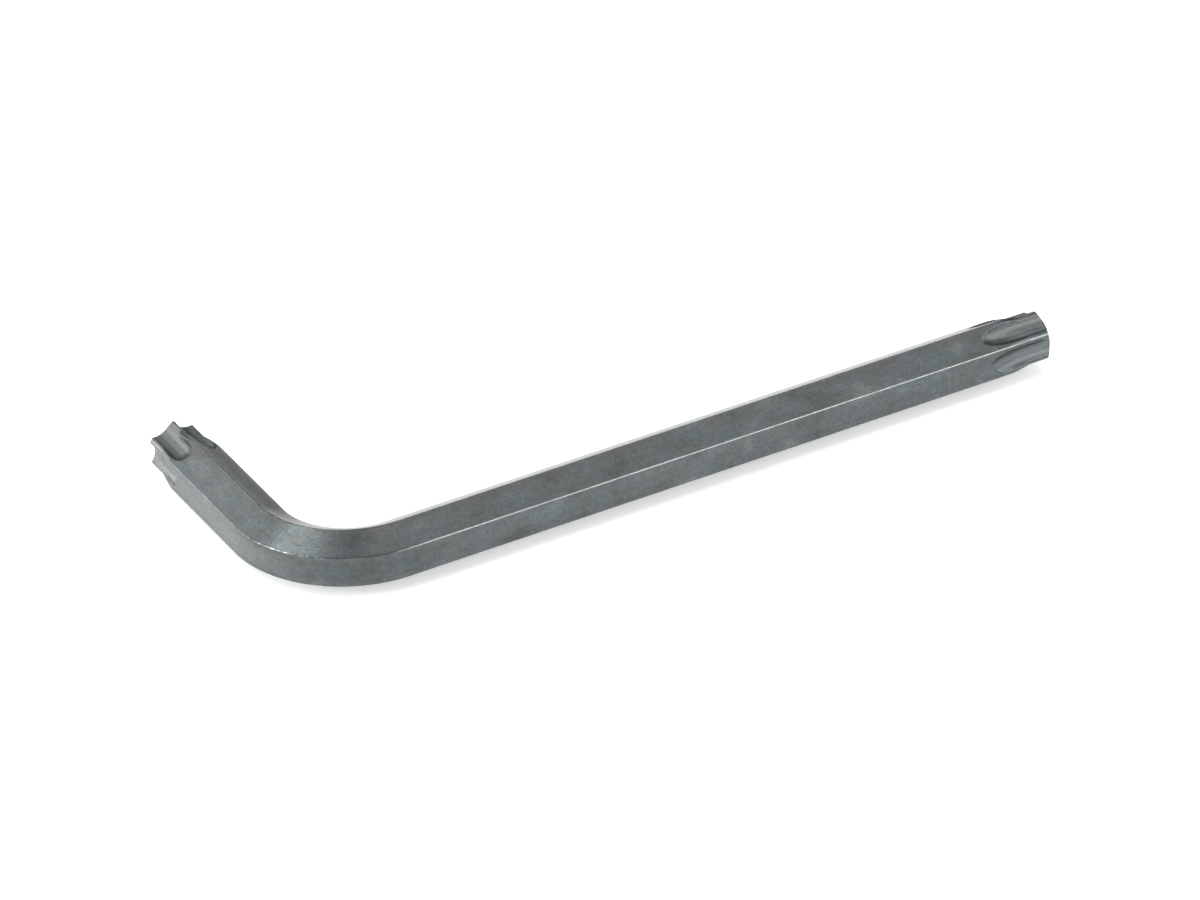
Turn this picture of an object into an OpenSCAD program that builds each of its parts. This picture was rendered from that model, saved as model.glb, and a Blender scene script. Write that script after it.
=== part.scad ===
// Star key: one hexagonal steel bar, bent into an L, with a six-lobed star formed on each end.
// It lies flat with its bend in the XY plane, two corners of the hexagon up and down.
// The long arm runs along +X and the short arm along +Y. The origin is under the middle of the key.
// The bar is cut into five named sections that meet face to face on planes square to the bar.

/* [Bar] */
// Width of the hexagon across its flats
across_flats = 5; // [4.9:0.01:5.4]
// Depth trimmed off each corner of the hexagon
corner_trim = 0.04; // [0.02:0.01:0.12]

/* [Arms] */
// Length of the long arm, from the outer flat of the short arm to the tip
long_len = 77.5; // [60:0.5:160]
// Length of the short arm, from the outer flat of the long arm to the tip
short_len = 28.7; // [25:0.1:60]
// Radius of the bend at the middle of the bar
bend_r = 9; // [6:0.5:11]

/* [Star] */
// Diameter of the star over its lobes
star_d = 4.96; // [4.8:0.01:5.04]
// Diameter of the star at the bottom of its flutes
flute_d = 3.56; // [3.4:0.01:3.7]
// Radius of the rounding on a lobe
lobe_round_r = 0.39; // [0.34:0.01:0.44]
// Length of fully formed star, from the end of the key
formed_len = 2.4; // [1.6:0.1:3]
// Length over which a lobe rises from the star to the corner of the hexagon
rise_len = 2; // [1:0.1:3]
// Length of the lead-in cone on the lobes of the long arm
long_cone_len = 0.44; // [0.1:0.01:0.8]
// Length of the lead-in cone on the lobes of the short arm
short_cone_len = 0.2; // [0.1:0.01:0.8]
// Width of the flat end face as a share of the flute diameter
face_share = 0.955; // [0.9:0.005:0.98]

/* [Run-outs] */
// Length of straight flute on the long arm
long_flute_len = 3.4; // [3:0.1:6]
// Tightest radius on which a long arm flute curves out of the bar
long_lip_r = 6.1; // [2:0.1:8]
// Length of straight flute on the short arm
short_flute_len = 4.1; // [3:0.1:6]
// Tightest radius on which a short arm flute curves out of the bar
short_lip_r = 0.14; // [0.1:0.01:3]
// Plain hexagon between a run-out and the face where the star section ends
plain_len = 0.8; // [0.6:0.1:2]

/* [Hidden] */
// Name of the section to draw, or all

sides = 6;
step_angle = 360 / sides;
half_step = step_angle / 2;
quarter_turn = 90;
// Length by which a cutter passes the face that it leaves through
overrun = 0.2;
// Flute radius as a share of the one that would just touch the lobes: a little more cuts into them cleanly
flute_bite_share = 1.035;
// Part of a lobe's rounding, from its middle, that the core of the star reaches
core_reach_share = 0.9;
// Share of a lead-in cone by which its cutter passes the cone at each end
cone_overrun_share = 0.3;
$fn = 96;

// The hexagon
flat_r = across_flats / 2;
sharp_corner_r = flat_r / cos(half_step);
corner_r = sharp_corner_r - corner_trim;

// The star: each flute is an arc that meets the roundings of the two lobes beside it
star_r = star_d / 2;
flute_bottom_r = flute_d / 2;
face_r = flute_bottom_r * face_share;
lobe_centre_r = star_r - lobe_round_r;
touching_arc_r = (pow(flute_bottom_r, 2) + pow(lobe_centre_r, 2) - pow(lobe_round_r, 2)
    - 2 * flute_bottom_r * lobe_centre_r * cos(half_step))
    / (2 * (lobe_round_r + lobe_centre_r * cos(half_step) - flute_bottom_r));
flute_arc_r = touching_arc_r * flute_bite_share;
flute_centre_r = flute_bottom_r + flute_arc_r;
shoulder_at = formed_len + rise_len;

// The star sections, each long enough for its flute, its run-out and the plain hexagon behind it
flute_depth = flat_r - flute_bottom_r;
function runout_len(lip_r) = sqrt(2 * (lip_r + 2 * flute_arc_r) * flute_depth - pow(flute_depth, 2));
long_tip_len = long_flute_len + runout_len(long_lip_r) + plain_len;
short_tip_len = short_flute_len + runout_len(short_lip_r) + plain_len;

// Ends of the two arms, measured from the point where their middle lines would cross
long_end = long_len - flat_r;
short_end = short_len - flat_r;

steel = [0.40, 0.44, 0.44];

// Corner of the star's core, inside a lobe and towards the flute on one side of it
function core_point(lobe_angle, side) =
    let (
        lobe = lobe_centre_r * [cos(lobe_angle), sin(lobe_angle)],
        flute_angle = lobe_angle + side * half_step,
        flute = flute_centre_r * [cos(flute_angle), sin(flute_angle)]
    )
    lobe + (flute - lobe) * core_reach_share * lobe_round_r / norm(flute - lobe);

// Outline of the bar before its corners are trimmed: flats left and right, corners up and down
module sharp_hexagon() {
    rotate(half_step) circle(r = sharp_corner_r, $fn = sides);
}

module hexagon() {
    intersection() {
        sharp_hexagon();
        circle(r = corner_r);
    }
}

module hex_bar(length) {
    linear_extrude(height = length) hexagon();
}

// Outline of the star, with rounded lobes in line with the corners of the hexagon
module star() {
    difference() {
        union() {
            polygon([for (k = [0 : sides - 1], side = [-1, 1]) core_point(half_step + k * step_angle, side)]);
            for (k = [0 : sides - 1]) rotate(half_step + k * step_angle)
                translate([lobe_centre_r, 0]) circle(r = lobe_round_r);
        }
        for (k = [0 : sides - 1]) rotate(k * step_angle)
            translate([flute_centre_r, 0]) circle(r = flute_arc_r);
    }
}

// Ring that cuts the lead-in cone, from the flat end face out to the lobes
module cone_ring(cone_len) {
    past_len = cone_len * cone_overrun_share;
    past_width = (star_r - face_r) * cone_overrun_share;
    rotate_extrude()
        polygon([
            [face_r - past_width, -past_len],
            [star_r + past_width, -past_len],
            [star_r + past_width, cone_len + past_len],
        ]);
}

// One flute: straight from the end of the key, then rising out of the flat on an arc
module flute(flute_len, lip_r) {
    lift_r = lip_r + flute_arc_r;
    translate([flute_centre_r, 0, -overrun])
        cylinder(r = flute_arc_r, h = flute_len + overrun);
    translate([flute_centre_r + lift_r, 0, flute_len])
        rotate([quarter_turn, 0, 0])
            rotate(quarter_turn)
                rotate_extrude(angle = quarter_turn)
                    translate([lift_r, 0]) circle(r = flute_arc_r);
}

// Round limits of the bar behind the formed star, where the lobes rise to the corners
module rise(tip_len) {
    rotate_extrude()
        polygon([
            [0, formed_len],
            [star_r, formed_len],
            [corner_r, shoulder_at],
            [corner_r, tip_len],
            [0, tip_len],
        ]);
}

// A star end, with its end face at the origin and the bar running up from it
module star_end(cone_len, flute_len, lip_r, tip_len) {
    difference() {
        linear_extrude(height = formed_len) star();
        cone_ring(cone_len);
    }
    difference() {
        intersection() {
            linear_extrude(height = tip_len) sharp_hexagon();
            rise(tip_len);
        }
        for (k = [0 : sides - 1]) rotate(k * step_angle) flute(flute_len, lip_r);
    }
}

// Moves a section from the crossing of the middle lines to its place in the whole key
module in_place() {
    translate([flat_r - long_len / 2, flat_r - short_len / 2, corner_r]) children();
}

module long_arm() {
    color(steel) in_place()
        translate([bend_r, 0, 0]) rotate([quarter_turn, 0, quarter_turn])
            hex_bar(long_end - long_tip_len - bend_r);
}

module bend() {
    color(steel) in_place()
        translate([bend_r, bend_r, 0]) rotate(2 * quarter_turn)
            rotate_extrude(angle = quarter_turn) translate([bend_r, 0]) hexagon();
}

module short_arm() {
    color(steel) in_place()
        translate([0, bend_r, 0]) rotate([-quarter_turn, 0, 0])
            hex_bar(short_end - short_tip_len - bend_r);
}

module long_star_tip() {
    color(steel) in_place()
        translate([long_end, 0, 0]) rotate([quarter_turn, 0, -quarter_turn])
            star_end(long_cone_len, long_flute_len, long_lip_r, long_tip_len);
}

module short_star_tip() {
    color(steel) in_place()
        translate([0, short_end, 0]) rotate([quarter_turn, 0, 0])
            star_end(short_cone_len, short_flute_len, short_lip_r, short_tip_len);
}

long_arm();
bend();
short_arm();
long_star_tip();
short_star_tip();
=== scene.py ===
# Star key: dresses the five CAD sections of the bent bar as burnished tool steel.
import math

import bpy
import numpy as np
from mathutils import Matrix, Vector


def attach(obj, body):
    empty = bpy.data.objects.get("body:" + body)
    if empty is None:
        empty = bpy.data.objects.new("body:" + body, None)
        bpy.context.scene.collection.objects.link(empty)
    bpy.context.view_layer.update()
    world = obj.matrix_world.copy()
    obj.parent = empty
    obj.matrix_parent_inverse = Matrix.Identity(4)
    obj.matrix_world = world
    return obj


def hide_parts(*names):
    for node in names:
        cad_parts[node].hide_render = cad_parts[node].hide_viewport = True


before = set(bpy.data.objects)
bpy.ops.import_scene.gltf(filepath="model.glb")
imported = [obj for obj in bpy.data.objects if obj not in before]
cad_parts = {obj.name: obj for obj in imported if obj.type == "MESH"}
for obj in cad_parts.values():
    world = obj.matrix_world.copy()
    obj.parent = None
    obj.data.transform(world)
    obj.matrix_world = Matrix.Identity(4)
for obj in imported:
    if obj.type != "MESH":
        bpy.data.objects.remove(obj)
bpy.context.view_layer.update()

# Sizes of the key in millimetres, as in the part's source
MM = 0.001
FLAT_R = 2.5
CORNER_TRIM = 0.04
LONG_LEN = 77.5
SHORT_LEN = 28.7
BEND_R = 9.0
STAR_R = 2.48
FLUTE_BOTTOM_R = 1.78
LOBE_ROUND_R = 0.39
FORMED_LEN = 2.4
RISE_LEN = 2.0
PLAIN_LEN = 0.8
LONG_CONE_LEN = 0.44
SHORT_CONE_LEN = 0.2
FACE_SHARE = 0.955
LONG_FLUTE_LEN = 3.4
LONG_LIP_R = 6.1
SHORT_FLUTE_LEN = 4.1
SHORT_LIP_R = 0.14
FLUTE_BITE = 1.035

# Shapes that follow from the sizes
SIDES = 6
SECTOR = 2 * math.pi / SIDES
HALF = SECTOR / 2
SHARP_R = FLAT_R / math.cos(HALF)
CORNER_R = SHARP_R - CORNER_TRIM
FACE_R = FLUTE_BOTTOM_R * FACE_SHARE
LOBE_C = STAR_R - LOBE_ROUND_R
TOUCH_R = (
    FLUTE_BOTTOM_R ** 2 + LOBE_C ** 2 - LOBE_ROUND_R ** 2
    - 2 * FLUTE_BOTTOM_R * LOBE_C * math.cos(HALF)
) / (2 * (LOBE_ROUND_R + LOBE_C * math.cos(HALF) - FLUTE_BOTTOM_R))
FLUTE_R = TOUCH_R * FLUTE_BITE
FLUTE_C = FLUTE_BOTTOM_R + FLUTE_R
FLUTE_DEPTH = FLAT_R - FLUTE_BOTTOM_R


def runout_len(lip_r):
    """Length over which a flute curves out of its flat."""
    return math.sqrt(2 * (lip_r + 2 * FLUTE_R) * FLUTE_DEPTH - FLUTE_DEPTH ** 2)


LONG_TIP = LONG_FLUTE_LEN + runout_len(LONG_LIP_R) + PLAIN_LEN
SHORT_TIP = SHORT_FLUTE_LEN + runout_len(SHORT_LIP_R) + PLAIN_LEN
SHORT_RUN = SHORT_LEN - FLAT_R - BEND_R
ARC_RUN = BEND_R * math.pi / 2
LONG_RUN = LONG_LEN - FLAT_R - BEND_R
BAR_RUN = SHORT_RUN + ARC_RUN + LONG_RUN
# Place of the crossing of the two middle lines in the shared frame
CROSSING = np.array([FLAT_R - LONG_LEN / 2, FLAT_R - SHORT_LEN / 2, CORNER_R])
UP = np.array([0.0, 0.0, 1.0])

# Rounding of the ridges, and lengths over which neighbouring surfaces blend
EDGE_R = 0.18
RISE_BLEND = 0.08
FLANK_BLEND = 0.05
CONE_BLEND = 0.05
FACE_BLEND = 0.03
# The rising lobes go on past the ridges, so that their blend leaves the plain bar alone
RISE_MOST = 1.6
# Where the blend of a flute starts to change from its lobes to its run-out
LIP_FROM = FORMED_LEN - 0.4
LIP_TO = FORMED_LEN + RISE_LEN

LONG_STAR = {
    "cone_len": LONG_CONE_LEN, "flute_len": LONG_FLUTE_LEN, "lip_r": LONG_LIP_R,
    "lobe_blend": 0.20, "lip_blend": 0.09, "flank": False,
}
SHORT_STAR = {
    "cone_len": SHORT_CONE_LEN, "flute_len": SHORT_FLUTE_LEN, "lip_r": SHORT_LIP_R,
    "lobe_blend": 0.16, "lip_blend": 0.07, "flank": True,
}

# Flank from the floor of one flute up to the top lobe: start and end values along the short star
FLANK_RUN = (0.6, 4.6)
FLANK_NORMAL = (math.radians(43.6), math.radians(60.0))
FLANK_CREST = (math.radians(92.0), math.radians(90.0))
FLANK_CREST_RUN = (1.4, 4.6)
FLANK_CREST_R = (2.5, SHARP_R + 0.03)
FLANK_ENTRY = (math.radians(62), math.radians(70))
FLANK_LIMIT = math.radians(110)
FLANK_CLEAR = 1.5


# Small helpers

def smooth_max(a, b, k):
    h = np.maximum(k - np.abs(a - b), 0) / k
    return np.maximum(a, b) + h * h * k / 4


def smooth_step(lo, hi, v):
    q = np.clip((v - lo) / (hi - lo), 0, 1)
    return q * q * (3 - 2 * q)


def blend(ends, share):
    return ends[0] + (ends[1] - ends[0]) * share


def bell(v, width):
    return np.exp(-(v / width) ** 2)


def turned(theta, middle):
    """Angle from a direction, between minus and plus half a turn."""
    return np.angle(np.exp(1j * (theta - middle)))


# The bar as distances from its surface, so that edges can be blended

def hexagon_gap(x, y):
    inner = FLAT_R - EDGE_R
    dx = x - inner
    dy = np.abs(y) - inner * math.tan(HALF)
    corner = np.hypot(np.maximum(dx, 0), np.maximum(dy, 0))
    return np.where(dy > 0, corner, dx) - EDGE_R


def flute_gap(x, y, s, flute_len, lift):
    past = np.maximum(s - flute_len, 0)
    ring = np.hypot(x - FLUTE_C - lift, past) - lift
    return FLUTE_R - np.hypot(ring, y)


def flank_gap(r, theta, s):
    """Gentle flank that carries the floor of the upper flute of the short star up to the top lobe."""
    along = smooth_step(*FLANK_RUN, s)
    normal = blend(FLANK_NORMAL, along)
    crest_at = blend(FLANK_CREST, along)
    crest_r = blend(FLANK_CREST_R, smooth_step(*FLANK_CREST_RUN, s))
    across = r * np.cos(theta) - crest_r * np.cos(crest_at)
    above = r * np.sin(theta) - crest_r * np.sin(crest_at)
    around = theta % (2 * math.pi)
    inside = smooth_step(*FLANK_ENTRY, around) * (around < FLANK_LIMIT)
    return across * np.cos(normal) + above * np.sin(normal) - FLANK_CLEAR * (1 - inside)


def bar_gap(r, theta, s, star):
    """Distance outside the bar at radius r, angle theta and distance s from the end of the key."""
    chi = (theta + HALF) % SECTOR - HALF
    x = r * np.cos(chi)
    y = r * np.sin(chi)
    gap = hexagon_gap(x, y)
    if star is None:
        return gap
    rise = np.clip((s - FORMED_LEN) / RISE_LEN, 0, RISE_MOST)
    gap = smooth_max(gap, r - blend((STAR_R, CORNER_R), rise), RISE_BLEND)
    flute = flute_gap(x, y, s, star["flute_len"], star["lip_r"] + FLUTE_R)
    behind = smooth_step(LIP_FROM, LIP_TO, s)
    gap = smooth_max(gap, flute, blend((star["lobe_blend"], star["lip_blend"]), behind))
    if star["flank"]:
        gap = smooth_max(gap, flank_gap(r, theta, s), FLANK_BLEND)
    slope = star["cone_len"] / (STAR_R - FACE_R)
    cone = ((r - FACE_R) * slope - s) / math.hypot(1, slope)
    gap = smooth_max(gap, cone, CONE_BLEND)
    return smooth_max(gap, -s, FACE_BLEND)


# Limits and number of halvings of the search for the surface
SEARCH_FROM = 0.5
SEARCH_TO = 3.4
HALVINGS = 36


def bar_radius(theta, s, star):
    lo = np.full(np.broadcast(theta, s).shape, SEARCH_FROM)
    hi = np.full(lo.shape, SEARCH_TO)
    for _ in range(HALVINGS):
        mid = (lo + hi) / 2
        outside = bar_gap(mid, theta, s, star) > 0
        hi = np.where(outside, mid, hi)
        lo = np.where(outside, lo, mid)
    return (lo + hi) / 2


# Small unevenness of the real bar, the same on both sides of each cut
WAVE_HEIGHT = 0.0009
WAVE_EASE = 0.5
WAVE_COUNT = 26
WAVE_RATE = (0.15, 1.6)
WAVE_TURNS = (1, 7)
WAVE_PHASE = (0, 6.28)
NICK_MARGIN = 9
NICK_SPREAD = 0.035
NICK_COUNT = 60
NICK_ASIDE = (-0.02, 0.02)
NICK_WIDTH = (0.05, 0.22)
NICK_DEPTH = (0.008, 0.03)
rng = np.random.RandomState(27)
WAVES = [
    (
        rng.uniform(*WAVE_RATE),
        rng.randint(*WAVE_TURNS),
        rng.uniform(*WAVE_PHASE),
        rng.uniform(*WAVE_PHASE),
    )
    for _ in range(WAVE_COUNT)
]
NICKS = [
    (
        rng.uniform(NICK_MARGIN, BAR_RUN - NICK_MARGIN),
        rng.randint(0, SIDES),
        rng.uniform(*NICK_ASIDE),
        rng.uniform(*NICK_WIDTH),
        rng.uniform(*NICK_DEPTH),
    )
    for _ in range(NICK_COUNT)
]


def unevenness(t, theta):
    out = np.zeros(np.broadcast(t, theta).shape)
    for rate, turns, p, q in WAVES:
        height = WAVE_HEIGHT / (WAVE_EASE + rate)
        out = out + height * np.sin(rate * t + p) * np.cos(turns * theta + q)
    for place, corner, aside, width, depth in NICKS:
        off = turned(theta, HALF + corner * SECTOR + aside)
        out = out - depth * bell(t - place, width) * bell(off, NICK_SPREAD)
    return out


# Sharp fold, flash and nicks that forging left along the top lobe of the short star
LAP_START = (0.5, 1.0)
LAP_STOP = (3.5, 4.1)
FOLD_AT = math.radians(98.5)
FOLD_DEPTH = 0.055
FOLD_WIDTH = 0.045
FLASH_AT = math.radians(93.0)
FLASH_HEIGHT = 0.03
FLASH_WIDTH = 0.05
LAP_NICKS = (2.15, 2.6, 2.95, 3.4)
LAP_NICK_DEPTH = 0.05
LAP_NICK_LEN = 0.07
LAP_NICK_WIDTH = 0.12
LAP_NICK_ASIDE = 0.05


def lap_marks(t, theta):
    reach = smooth_step(*LAP_START, t) * (1 - smooth_step(*LAP_STOP, t))
    from_fold = turned(theta, FOLD_AT) * STAR_R
    from_flash = turned(theta, FLASH_AT) * STAR_R
    out = (FLASH_HEIGHT * bell(from_flash, FLASH_WIDTH) - FOLD_DEPTH * bell(from_fold, FOLD_WIDTH)) * reach
    across = bell(from_flash - LAP_NICK_ASIDE, LAP_NICK_WIDTH)
    for place in LAP_NICKS:
        out = out - LAP_NICK_DEPTH * bell(t - place, LAP_NICK_LEN) * across
    return out


# Finish of the bar: places along the bend are shares of the way round it
TOP = math.pi / 2
OUTER_FLAT = 0.0
INNER_FLAT = 2 * SECTOR
FLAT_SPREAD = 0.5
HOLLOW_R = (2.2, 2.47)
RIDGE_WIDTH = 0.055
RIDGE_PHASE = 1.7
UPPER_OUTER_RIDGE = 0
TOP_RIDGE = 1
LONG_WEAR_START = (0.86, 1.1)
LONG_WEAR = (0.66, ((0.06, 0.37), (0.04, 1.9)))
BEND_WEAR_START = (0.0, 0.25)
BEND_WEAR_STOP = (0.52, 0.62)
BEND_WEAR = (0.20, ((0.26, 5.1), (0.24, 11.3)))
SHORT_WEAR_STOP = (-0.1, 0.2)
SHORT_TOP_WEAR = 0.55
SHORT_WEAR = 0.16
SHORT_SWING = ((0.06, 2.3),)
TIP_WEAR_STOP = (3.4, 4.6)
SHORT_TIP_WEAR = 0.22
LONG_TIP_WEAR = 0.42
OTHER_RIDGES = 0.6
# Paler outer flat of the short arm: partly pale patches, partly a painted reflection of the lit floor
# beside it
PALE_AND_LIT_OUTSIDE = 0.11
PALE_AND_LIT_STOP = (SHORT_RUN + 1, SHORT_RUN + 9)
PALE_HOLLOWS = 0.07
# Darkening of the finish: scale with painted shade inside the short arm, painted shade on the outside of
# the bend
SCALE_AND_SHADE_COVER = 0.5
INNER_SCALE_AND_SHADE_STOP = (0.05, 0.55)
OUTER_PAINTED_SHADE_START = (0.25, 0.6)
OUTER_PAINTED_SHADE_STOP = (0.95, 1.25)
BROWN_BASE = 0.30
BROWN_TOP = 0.70
BROWN_TOP_ASIDE = 0.10
BROWN_TOP_WIDTH = 0.20
BROWN_UNDER = 0.3
BROWN_UNDER_WIDTH = 0.6


def round_bend(t):
    return (t - SHORT_RUN) / ARC_RUN


def on_flat(theta, middle):
    """1 on the flat that faces a direction, falling to 0 at its ridges."""
    return np.exp(-(turned(theta, middle) / FLAT_SPREAD) ** 4)


def hollow_share(r):
    """1 in the flutes and on the end faces, 0 on the plain bar."""
    return 1 - smooth_step(*HOLLOW_R, r)


def wander(base, swings, t, phase):
    """Level that varies along the bar: each swing is a height and a rate."""
    for turns, (height, rate) in enumerate(swings, 1):
        base = base + height * np.sin(rate * t + turns * phase)
    return base


def wear_and_painted_light(t, theta, r):
    """How far the dark finish is rubbed off, from 0 to 1, along the ridges, plus paler flutes and end
    faces, and a paler outer flat on the short arm that is partly pale patches and partly a painted
    reflection of the lit floor.
    """
    corner = np.floor((theta % (2 * math.pi)) / SECTOR).astype(int) % SIDES
    ridge = bell(((theta % SECTOR) - HALF) * r, RIDGE_WIDTH)
    phase = corner * RIDGE_PHASE
    bent = round_bend(t)
    long_part = smooth_step(*LONG_WEAR_START, bent)
    bend_part = smooth_step(*BEND_WEAR_START, bent) * (1 - smooth_step(*BEND_WEAR_STOP, bent))
    short_part = 1 - smooth_step(*SHORT_WEAR_STOP, bent)
    tip_part = 1 - smooth_step(*TIP_WEAR_STOP, np.minimum(t, BAR_RUN - t))
    steady = wander(*LONG_WEAR, t, phase)
    dotted = np.clip(wander(*BEND_WEAR, t, phase), 0, 1)
    short_level = np.where(corner == TOP_RIDGE, SHORT_TOP_WEAR, SHORT_WEAR)
    faint = wander(short_level, SHORT_SWING, t, phase)
    along = steady * long_part + dotted * bend_part + faint * short_part
    tip_level = np.where(t < SHORT_RUN, SHORT_TIP_WEAR, LONG_TIP_WEAR)
    along = along + (tip_level - along) * tip_part
    strength = np.where(corner == UPPER_OUTER_RIDGE, 1.0, OTHER_RIDGES)
    # Painted reflection of the lit floor, with pale patches, on the short arm's outer flat
    outside = on_flat(theta, OUTER_FLAT) * (1 - smooth_step(*PALE_AND_LIT_STOP, t))
    worn = ridge * along * strength + PALE_AND_LIT_OUTSIDE * outside + PALE_HOLLOWS * hollow_share(r)
    return np.clip(worn, 0, 1)


def scale_and_painted_shade(t, theta):
    """How much dull scale and painted shade darken the finish, from 0 to 1: inside the short arm it is
    scale with painted shade, on the outside of the bend it is painted shade.
    """
    bent = round_bend(t)
    inner = on_flat(theta, INNER_FLAT) * (1 - smooth_step(*INNER_SCALE_AND_SHADE_STOP, bent))
    # On the outside of the bend the darkening is painted shade
    outer = smooth_step(*OUTER_PAINTED_SHADE_START, bent) * (1 - smooth_step(*OUTER_PAINTED_SHADE_STOP, bent))
    return np.clip(SCALE_AND_SHADE_COVER * (inner + on_flat(theta, OUTER_FLAT) * outer), 0, 1)


def tone(theta):
    """Where the finish may turn brown, from 0 to 1: beside the top ridge and on the lower inner flat."""
    from_top = turned(theta, TOP)
    upper = bell(from_top + BROWN_TOP_ASIDE, BROWN_TOP_WIDTH)
    under = bell(from_top - math.pi, BROWN_UNDER_WIDTH)
    return np.clip(BROWN_BASE + BROWN_TOP * upper + BROWN_UNDER * under, 0, 1)


# Meshes of the sections: t runs along the middle line from the short end, theta from the outside up
END_FADE = (0.0, 0.6)
RIDGE_CROWDING = 0.75
CAP_STEPS = np.array([0.93, 0.8, 0.6, 0.4, 0.2])[:, None, None]
# The scale mark holds dull scale together with painted shade
MARKS = ("wear_and_painted_light", "tone", "scale")
CAP_MARKS = np.array([0.0, 0.4, 0.0])


def middle_line(t):
    """Points of the middle line and directions to the outside of the bend."""
    turn = np.clip((SHORT_RUN + ARC_RUN - t) / BEND_R, 0, math.pi / 2)
    out = np.stack([-np.sin(turn), -np.cos(turn), np.zeros_like(turn)], -1)
    point = np.array([BEND_R, BEND_R, 0.0]) + BEND_R * out
    point[:, 1] += np.maximum(SHORT_RUN - t, 0)
    point[:, 0] += np.maximum(t - SHORT_RUN - ARC_RUN, 0)
    return point, out


def ring_angles(per_sector):
    """Angles round the bar, crowded at its ridges."""
    q = np.arange(per_sector) / per_sector
    within = q - RIDGE_CROWDING * np.sin(2 * math.pi * q) / (2 * math.pi)
    corners = HALF + SECTOR * np.arange(SIDES)
    return (corners[:, None] + SECTOR * within[None, :]).ravel()


def section_rings(ts, per_sector, star, end_at):
    """Middle line, ring points, places on the bar and marks of the finish of one section."""
    theta = ring_angles(per_sector)[None, :]
    t = ts[:, None]
    s = BAR_RUN - t if end_at == "last" else t
    fade = smooth_step(*END_FADE, s) if star else 1.0
    r = bar_radius(theta, s, star) + unevenness(t, theta) * fade
    if end_at == "first":
        r = r + lap_marks(t, theta)
    middle, out = middle_line(ts)
    side = r * np.cos(theta)
    rise = r * np.sin(theta)
    ring = middle[:, None, :] + side[..., None] * out[:, None, :] + rise[..., None] * UP
    bar = np.stack([np.broadcast_to(t, r.shape), side, rise], -1)
    brown = np.broadcast_to(tone(theta), r.shape)
    marks = np.stack([wear_and_painted_light(t, theta, r), brown, scale_and_painted_shade(t, theta)], -1)
    return middle, ring, bar, marks


def with_cap(middle, ring, bar, marks, end_at):
    """The same rings with smaller ones added, which close the key's own end."""
    index = 0 if end_at == "first" else -1
    cap = middle[index] + (ring[index] - middle[index]) * CAP_STEPS
    cap_bar = bar[index] * CAP_STEPS
    cap_bar[..., 0] = bar[index, 0, 0]
    cap_marks = np.broadcast_to(CAP_MARKS, cap.shape)
    pairs = ((ring, cap), (bar, cap_bar), (marks, cap_marks))
    if end_at == "first":
        return [np.concatenate([added[::-1], rings]) for rings, added in pairs]
    return [np.concatenate([rings, added]) for rings, added in pairs]


def closed_faces(count, around):
    """Quads between the rings, and a fan of triangles at each end."""
    a = np.arange(around)
    b = (a + 1) % around
    low = around * np.arange(count - 1)[:, None]
    high = low + around
    quads = np.stack([low + a, high + a, high + b, low + b], -1).reshape(-1, 4)
    first = count * around
    top = first - around
    fans = np.concatenate([
        np.stack([a, b, np.full(around, first)], 1),
        np.stack([top + b, top + a, np.full(around, first + 1)], 1),
    ])
    return quads.tolist() + fans.tolist()


def mark_cuts(mesh, count, around, end_at):
    """Keeps the edges sharp where a section is cut from its neighbour."""
    edge = np.zeros(len(mesh.edges) * 2, int)
    mesh.edges.foreach_get("vertices", edge)
    edge = edge.reshape(-1, 2)
    first = count * around
    cut = np.zeros(len(mesh.edges), bool)
    if end_at != "first":
        cut |= (edge < around).all(1)
    if end_at != "last":
        cut |= ((edge >= first - around) & (edge < first)).all(1)
    sharp = mesh.attributes.new("sharp_edge", "BOOLEAN", "EDGE")
    sharp.data.foreach_set("value", cut)


def section_mesh(name, ts, per_sector, star, end_at):
    """Closed mesh of one section. end_at says which ring is the key's own end: 'first', 'last' or None."""
    middle, ring, bar, marks = section_rings(ts, per_sector, star, end_at)
    if end_at:
        ring, bar, marks = with_cap(middle, ring, bar, marks, end_at)
    count, around = ring.shape[:2]
    ends = np.array([[ts[0], 0.0, 0.0], [ts[-1], 0.0, 0.0]])
    points = np.concatenate([ring.reshape(-1, 3), middle[:1], middle[-1:]])
    bar = np.concatenate([bar.reshape(-1, 3), ends])
    marks = np.concatenate([marks.reshape(-1, len(MARKS)), [CAP_MARKS, CAP_MARKS]])
    mesh = bpy.data.meshes.new(name)
    mesh.from_pydata(((points + CROSSING) * MM).tolist(), [], closed_faces(count, around))
    mesh.update(calc_edges=True)
    mesh.polygons.foreach_set("use_smooth", np.ones(len(mesh.polygons), bool))
    mark_cuts(mesh, count, around, end_at)
    place = mesh.attributes.new("bar", "FLOAT_VECTOR", "POINT")
    place.data.foreach_set("vector", bar.astype(np.float32).ravel())
    values = dict(zip(MARKS, marks.T))
    values["hollow"] = hollow_share(np.hypot(bar[:, 1], bar[:, 2]))
    for mark, value in values.items():
        layer = mesh.attributes.new(mark, "FLOAT", "POINT")
        layer.data.foreach_set("value", value.astype(np.float32))
    piece = bpy.data.objects.new(name, mesh)
    bpy.context.scene.collection.objects.link(piece)
    return piece


# Places of the rings along the bar
CONE_RINGS = 34
CONE_REACH = 1.25
TIP_STEP = 0.05
SHORT_ARM_RINGS = 44
BEND_RINGS = 121
LONG_ARM_RINGS = 260
BAR_FINENESS = 28
TIP_FINENESS = 56


def tip_places(length, cone_len):
    """Distances from the key's end at which a star section has its rings."""
    cone = np.linspace(0, CONE_REACH * cone_len, CONE_RINGS)
    return np.concatenate([cone[:-1], np.linspace(cone[-1], length, int(length / TIP_STEP))])


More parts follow.
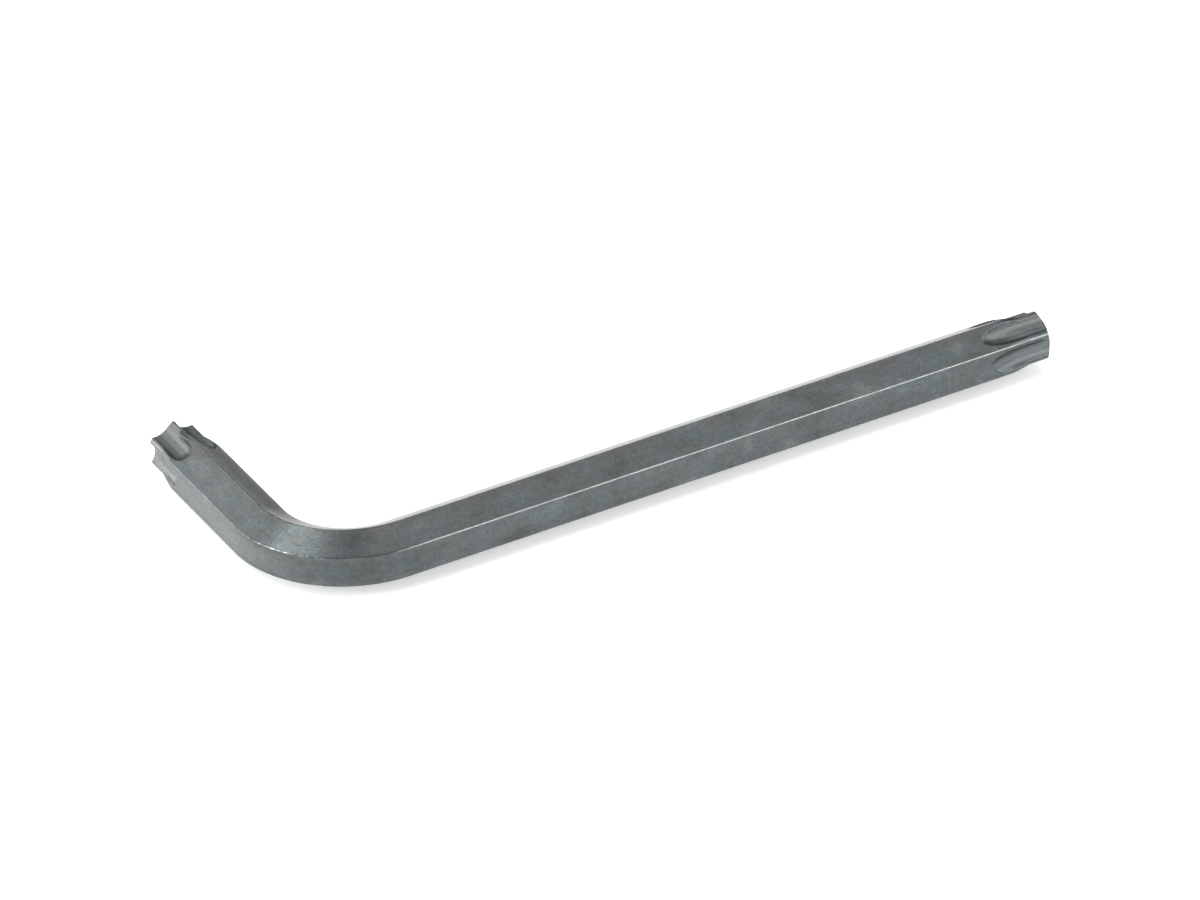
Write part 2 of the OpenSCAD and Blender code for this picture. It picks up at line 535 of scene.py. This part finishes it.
short_tip_ts = tip_places(SHORT_TIP, SHORT_CONE_LEN)
short_arm_ts = np.linspace(SHORT_TIP, SHORT_RUN, SHORT_ARM_RINGS)
bend_ts = np.linspace(SHORT_RUN, SHORT_RUN + ARC_RUN, BEND_RINGS)
long_arm_ts = np.linspace(SHORT_RUN + ARC_RUN, BAR_RUN - LONG_TIP, LONG_ARM_RINGS)
long_tip_ts = (BAR_RUN - tip_places(LONG_TIP, LONG_CONE_LEN))[::-1]

pieces = {
    "long_arm": section_mesh("long_arm_bar", long_arm_ts, BAR_FINENESS, None, None),
    "bend": section_mesh("bend_bar", bend_ts, BAR_FINENESS, None, None),
    "short_arm": section_mesh("short_arm_bar", short_arm_ts, BAR_FINENESS, None, None),
    "long_star_tip": section_mesh("long_star_end", long_tip_ts, TIP_FINENESS, LONG_STAR, "last"),
    "short_star_tip": section_mesh("short_star_end", short_tip_ts, TIP_FINENESS, SHORT_STAR, "first"),
}


# Burnished steel: dark grey oxide with mottling, fine grain, drawn lines and rubbed ridges, with painted
# shade in the dull scale and a painted reflection on the short arm's outer flat
OXIDE = [
    (0.30, (0.072, 0.079, 0.078, 1)),
    (0.44, (0.097, 0.110, 0.111, 1)),
    (0.57, (0.103, 0.121, 0.125, 1)),
    (0.72, (0.152, 0.161, 0.158, 1)),
]
BROWN = (0.109, 0.102, 0.092, 1)
BARE = (0.60, 0.62, 0.62, 1)
WHITE = (1.0, 1.0, 1.0, 1)
# Greyer tint and darker colour of the dull scale, which also paint shade inside the short arm and on the
# outside of the bend
DULL_AND_SHADED_TINT = (0.34, 0.34, 0.34, 1)
SCALE_AND_PAINTED_SHADE_DARKENING = 0.62
ROUGHNESS = (0.23, 0.34)
HOLLOW_ROUGHNESS = 0.08
# Strength and depth in metres of the fine relief
GRAIN_RELIEF = (0.16, 0.00006)
LINE_RELIEF = (0.12, 0.00004)
# Part of a noise's range that holds most of its values
SPREAD = (0.25, 0.75)


def steel_material():
    mat = bpy.data.materials.new("burnished_steel")
    mat.use_nodes = True
    nodes = mat.node_tree.nodes
    links = mat.node_tree.links
    shader = nodes["Principled BSDF"]
    shader.inputs["Metallic"].default_value = 1.0

    def attribute(name, output="Fac"):
        node = nodes.new("ShaderNodeAttribute")
        node.attribute_name = name
        return node.outputs[output]

    bar = attribute("bar", "Vector")

    def noise(scale, detail, rough, stretch=(1, 1, 1), shift=(0, 0, 0)):
        place = nodes.new("ShaderNodeMapping")
        place.inputs["Scale"].default_value = stretch
        place.inputs["Location"].default_value = shift
        links.new(bar, place.inputs["Vector"])
        tex = nodes.new("ShaderNodeTexNoise")
        tex.inputs["Scale"].default_value = scale
        tex.inputs["Detail"].default_value = detail
        tex.inputs["Roughness"].default_value = rough
        links.new(place.outputs["Vector"], tex.inputs["Vector"])
        return tex.outputs["Fac"]

    def ramp(source, stops):
        node = nodes.new("ShaderNodeValToRGB")
        ends = node.color_ramp.elements
        ends[0].position, ends[0].color = stops[0]
        ends[1].position, ends[1].color = stops[-1]
        for place, colour in stops[1:-1]:
            ends.new(place).color = colour
        links.new(source, node.inputs["Fac"])
        return node.outputs["Color"]

    def mix(amount, a, b):
        node = nodes.new("ShaderNodeMix")
        node.data_type = "RGBA"
        links.new(amount, node.inputs[0])
        for socket, value in ((node.inputs[6], a), (node.inputs[7], b)):
            if isinstance(value, tuple):
                socket.default_value = value
            else:
                links.new(value, socket)
        return node.outputs[2]

    def span(source, before, after):
        node = nodes.new("ShaderNodeMapRange")
        node.inputs["From Min"].default_value, node.inputs["From Max"].default_value = before
        node.inputs["To Min"].default_value, node.inputs["To Max"].default_value = after
        links.new(source, node.inputs["Value"])
        return node.outputs["Result"]

    def product(a, b):
        node = nodes.new("ShaderNodeMath")
        node.operation = "MULTIPLY"
        links.new(a, node.inputs[0])
        links.new(b, node.inputs[1])
        return node.outputs[0]

    def shade(colour, amount):
        node = nodes.new("ShaderNodeVectorMath")
        node.operation = "SCALE"
        links.new(colour, node.inputs[0])
        links.new(amount, node.inputs["Scale"])
        return node.outputs[0]

    def bump(height, strength, distance):
        node = nodes.new("ShaderNodeBump")
        node.inputs["Strength"].default_value = strength
        node.inputs["Distance"].default_value = distance
        links.new(height, node.inputs["Height"])
        return node

    # Colour
    oxide = ramp(noise(0.34, 5, 0.66, stretch=(0.8, 1, 1)), OXIDE)
    rust = span(noise(0.8, 4, 0.65, stretch=(0.6, 1, 1), shift=(7, 3, 1)), (0.42, 0.66), (0.0, 1.0))
    mottled = mix(product(rust, attribute("tone")), oxide, BROWN)
    grain = span(noise(3.4, 3, 0.7), SPREAD, (0.80, 1.20))
    drawn = span(noise(3.2, 2, 0.5, stretch=(0.07, 1, 1)), SPREAD, (0.92, 1.08))
    speckled = shade(mottled, product(grain, drawn))
    patchy = span(noise(2.6, 3, 0.6, shift=(2, 9, 4)), (0.36, 0.62), (0.7, 1.0))
    # Rubbed ridges, and a painted reflection on the short arm's outer flat, turn the colour towards bare
    # steel
    worn_and_painted_light = mix(product(attribute("wear_and_painted_light"), patchy), speckled, BARE)
    # Dull scale with painted shade: darker colour and a greyer tint inside the short arm and on the
    # outside of the bend
    scale = attribute("scale")
    links.new(shade(worn_and_painted_light, span(scale, (0.0, 1.0), (1.0, SCALE_AND_PAINTED_SHADE_DARKENING))), shader.inputs["Base Color"])
    links.new(mix(scale, WHITE, DULL_AND_SHADED_TINT), shader.inputs["Specular Tint"])

    # Roughness, a little more satin in the flutes
    satin = nodes.new("ShaderNodeMath")
    satin.operation = "MULTIPLY_ADD"
    satin.inputs[1].default_value = HOLLOW_ROUGHNESS
    links.new(attribute("hollow"), satin.inputs[0])
    links.new(span(noise(5.0, 3, 0.6, shift=(1, 5, 9)), SPREAD, ROUGHNESS), satin.inputs[2])
    links.new(satin.outputs[0], shader.inputs["Roughness"])

    # Fine relief
    fine = bump(noise(7.0, 4, 0.7, shift=(4, 4, 4)), *GRAIN_RELIEF)
    lines = bump(noise(5.0, 2, 0.5, stretch=(0.05, 1, 1), shift=(3, 1, 2)), *LINE_RELIEF)
    links.new(fine.outputs["Normal"], lines.inputs["Normal"])
    links.new(lines.outputs["Normal"], shader.inputs["Normal"])
    return mat


steel = steel_material()
for node, piece in pieces.items():
    piece.data.materials.append(steel)
    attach(piece, "root")
    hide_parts(node)


# Pale floor that glows a little round the key, as a light table does
FLOOR_HALF = 3.0
FLOOR_TONE = (0.90, 0.90, 0.90, 1)
FLOOR_ROUGHNESS = 0.9
FLOOR_GLOSS = 0.1
GLOW_REACH = (0.03, 0.16)
GLOW = (0.40, 0.06)


def faded(nodes, links, source, before, after):
    """Node that turns one range into another with soft ends."""
    node = nodes.new("ShaderNodeMapRange")
    node.interpolation_type = "SMOOTHSTEP"
    node.inputs["From Min"].default_value, node.inputs["From Max"].default_value = before
    node.inputs["To Min"].default_value, node.inputs["To Max"].default_value = after
    links.new(source, node.inputs["Value"])
    return node.outputs["Result"]


def floor_material():
    mat = bpy.data.materials.new("pale_floor")
    mat.use_nodes = True
    nodes = mat.node_tree.nodes
    links = mat.node_tree.links
    shader = nodes["Principled BSDF"]
    shader.inputs["Base Color"].default_value = FLOOR_TONE
    shader.inputs["Roughness"].default_value = FLOOR_ROUGHNESS
    shader.inputs["Specular IOR Level"].default_value = FLOOR_GLOSS
    shader.inputs["Emission Color"].default_value = WHITE
    where = nodes.new("ShaderNodeTexCoord")
    away = nodes.new("ShaderNodeVectorMath")
    away.operation = "LENGTH"
    links.new(where.outputs["Object"], away.inputs[0])
    glow = faded(nodes, links, away.outputs["Value"], GLOW_REACH, GLOW)
    links.new(glow, shader.inputs["Emission Strength"])
    return mat


floor_corners = [(x * FLOOR_HALF, y * FLOOR_HALF, 0) for x, y in ((-1, -1), (1, -1), (1, 1), (-1, 1))]
floor_mesh = bpy.data.meshes.new("floor")
floor_mesh.from_pydata(floor_corners, [], [(0, 1, 2, 3)])
floor = bpy.data.objects.new("floor", floor_mesh)
floor.data.materials.append(floor_material())
bpy.context.scene.collection.objects.link(floor)


# Soft studio light: name, direction, distance, size in metres and radiance of each softbox
SOFTBOXES = (
    ("back_left_low", (-0.62, 0.76, 0.18), 1.0, (0.7, 0.4), 2.9),
    ("back_high", (-0.27, 0.74, 0.62), 0.9, (0.5, 0.4), 1.7),
    ("back_right_high", (0.38, 0.58, 0.72), 0.9, (0.45, 0.28), 1.7),
    ("back_right_low", (0.36, 0.92, 0.13), 1.0, (0.26, 0.34), 1.1),
    ("overhead_left", (-0.29, 0.29, 0.91), 0.9, (0.30, 0.36), 3.7),
    ("overhead", (0.0, 0.0, 1.0), 0.9, (0.45, 0.7), 0.45),
    ("high_right", (0.42, -0.09, 0.90), 0.9, (0.40, 0.7), 1.05),
    ("left_high", (-0.72, 0.10, 0.68), 0.9, (0.6, 0.6), 1.8),
    ("left_low", (-0.92, 0.10, 0.38), 0.8, (0.30, 0.30), 10.5),
    ("front_left", (-0.50, -0.80, 0.33), 1.0, (0.8, 0.6), 1.5),
    ("front", (0.38, -0.85, 0.36), 1.0, (0.55, 0.5), 2.6),
    ("right", (0.80, -0.35, 0.45), 1.0, (0.8, 0.7), 1.9),
)
for name, toward, distance, size, radiance in SOFTBOXES:
    light = bpy.data.lights.new(name, "AREA")
    light.shape = "RECTANGLE"
    light.size, light.size_y = size
    light.energy = radiance * math.pi * size[0] * size[1]
    lamp = bpy.data.objects.new(name, light)
    lamp.location = Vector(toward).normalized() * distance
    lamp.rotation_euler = (-lamp.location).to_track_quat("-Z", "Y").to_euler()
    bpy.context.scene.collection.objects.link(lamp)

# Studio round the key, darker low at the back right
DARK_SIDE = (0.70, 0.71, 0.06)
DARK_REACH = (0.84, 0.985)
STUDIO = (0.42, 0.10)
world = bpy.data.worlds.new("studio")
bpy.context.scene.world = world
world.use_nodes = True
sky_nodes = world.node_tree.nodes
sky_links = world.node_tree.links
background = sky_nodes["Background"]
background.inputs["Color"].default_value = WHITE
aim = sky_nodes.new("ShaderNodeTexCoord")
toward_dark = sky_nodes.new("ShaderNodeVectorMath")
toward_dark.operation = "DOT_PRODUCT"
toward_dark.inputs[1].default_value = DARK_SIDE
sky_links.new(aim.outputs["Generated"], toward_dark.inputs[0])
sky = faded(sky_nodes, sky_links, toward_dark.outputs["Value"], DARK_REACH, STUDIO)
sky_links.new(sky, background.inputs["Strength"])


# Camera at the photograph's viewing angle, for a frame of 1200 by 900: angles in radians, lengths in mm
IMAGE_WIDTH = 1200
ROLL = 0.047268
ELEVATION = 0.561886
AZIMUTH = 0.485124
SHIFT_RIGHT = -25.47944
SHIFT_UP = -11.21288
DISTANCE = 687.470
FOCAL_PIXELS = 7903.979

level_right = Vector((math.cos(AZIMUTH), -math.sin(AZIMUTH), 0))
level_ahead = Vector((math.sin(AZIMUTH), math.cos(AZIMUTH), 0))
forward = level_ahead * math.cos(ELEVATION) - Vector(UP) * math.sin(ELEVATION)
level_up = level_ahead * math.sin(ELEVATION) + Vector(UP) * math.cos(ELEVATION)
right = level_right * math.cos(ROLL) - level_up * math.sin(ROLL)
up = level_right * math.sin(ROLL) + level_up * math.cos(ROLL)
eye = Vector(CROSSING) - right * SHIFT_RIGHT - up * SHIFT_UP - forward * DISTANCE

camera_data = bpy.data.cameras.new("camera")
camera_data.sensor_fit = "HORIZONTAL"
camera_data.sensor_width = 36.0
camera_data.lens = FOCAL_PIXELS / IMAGE_WIDTH * camera_data.sensor_width
camera_data.clip_start = 0.01
camera_data.clip_end = 50.0
camera = bpy.data.objects.new("camera", camera_data)
facing = Matrix((right, up, -forward)).transposed().to_4x4()
camera.matrix_world = Matrix.Translation(eye * MM) @ facing
bpy.context.scene.collection.objects.link(camera)
bpy.context.scene.camera = camera
bpy.context.scene.view_settings.view_transform = "Standard"
